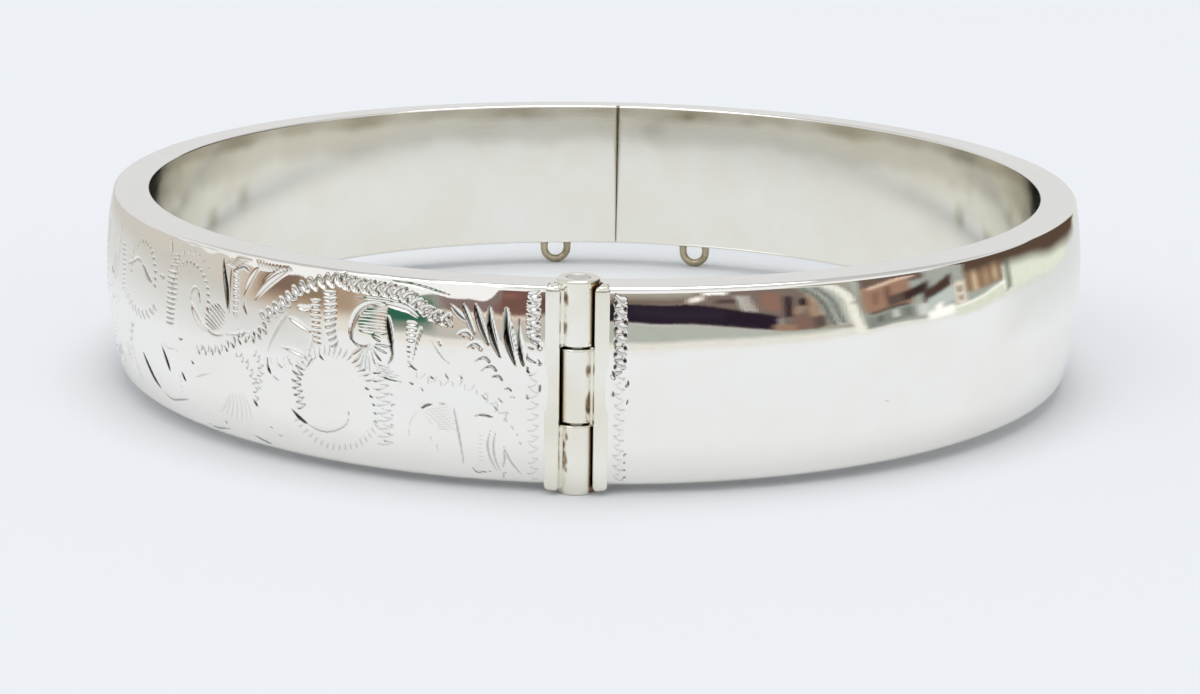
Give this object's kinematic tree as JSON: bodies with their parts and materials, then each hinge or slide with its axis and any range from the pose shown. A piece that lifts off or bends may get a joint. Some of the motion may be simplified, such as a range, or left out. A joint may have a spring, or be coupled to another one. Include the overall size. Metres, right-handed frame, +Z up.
{
  "type": "hinged bangle",
  "caption": "Round hollow silver bangle lying on its side, with a scroll-engraved half and a plain half joined by a barrel hinge, a hidden tongue clasp and wire loops under the rim.",
  "frame": {"origin": "on the surface that the bangle lies on, below its middle", "axes": "+Z up from that surface; the hinge is towards -Y and the clasp towards +Y; the engraved half is at -X and the plain half at +X; the bangle's own axis leans back from +Z by 1.27 degrees, because it rests on the barrel's end in front and on the two wire loops behind"},
  "size_m": [0.0606, 0.0608, 0.0122],
  "materials": {
    "engraved_silver": "polished sterling silver with bright-cut engraving and light tarnish",
    "plain_silver": "mirror-polished sterling silver with fine wear scratches",
    "pin_silver": "worn silver wire, filed flush",
    "tongue_silver": "satin silver sheet"
  },
  "bodies": {
    "engraved_side": {"engraved_half": "engraved_silver", "hinge_pin": "pin_silver"},
    "plain_side": {"plain_half": "plain_silver", "clasp_tongue": "tongue_silver"}
  },
  "joints": [
    {"name": "hinge_swing", "type": "hinge", "parent": "engraved_side", "child": "plain_side", "pos_m": [0, -0.02915, 0.00567], "axis": [0, 0.0221, -0.9998], "range_deg": [0, 50]}
  ]
}
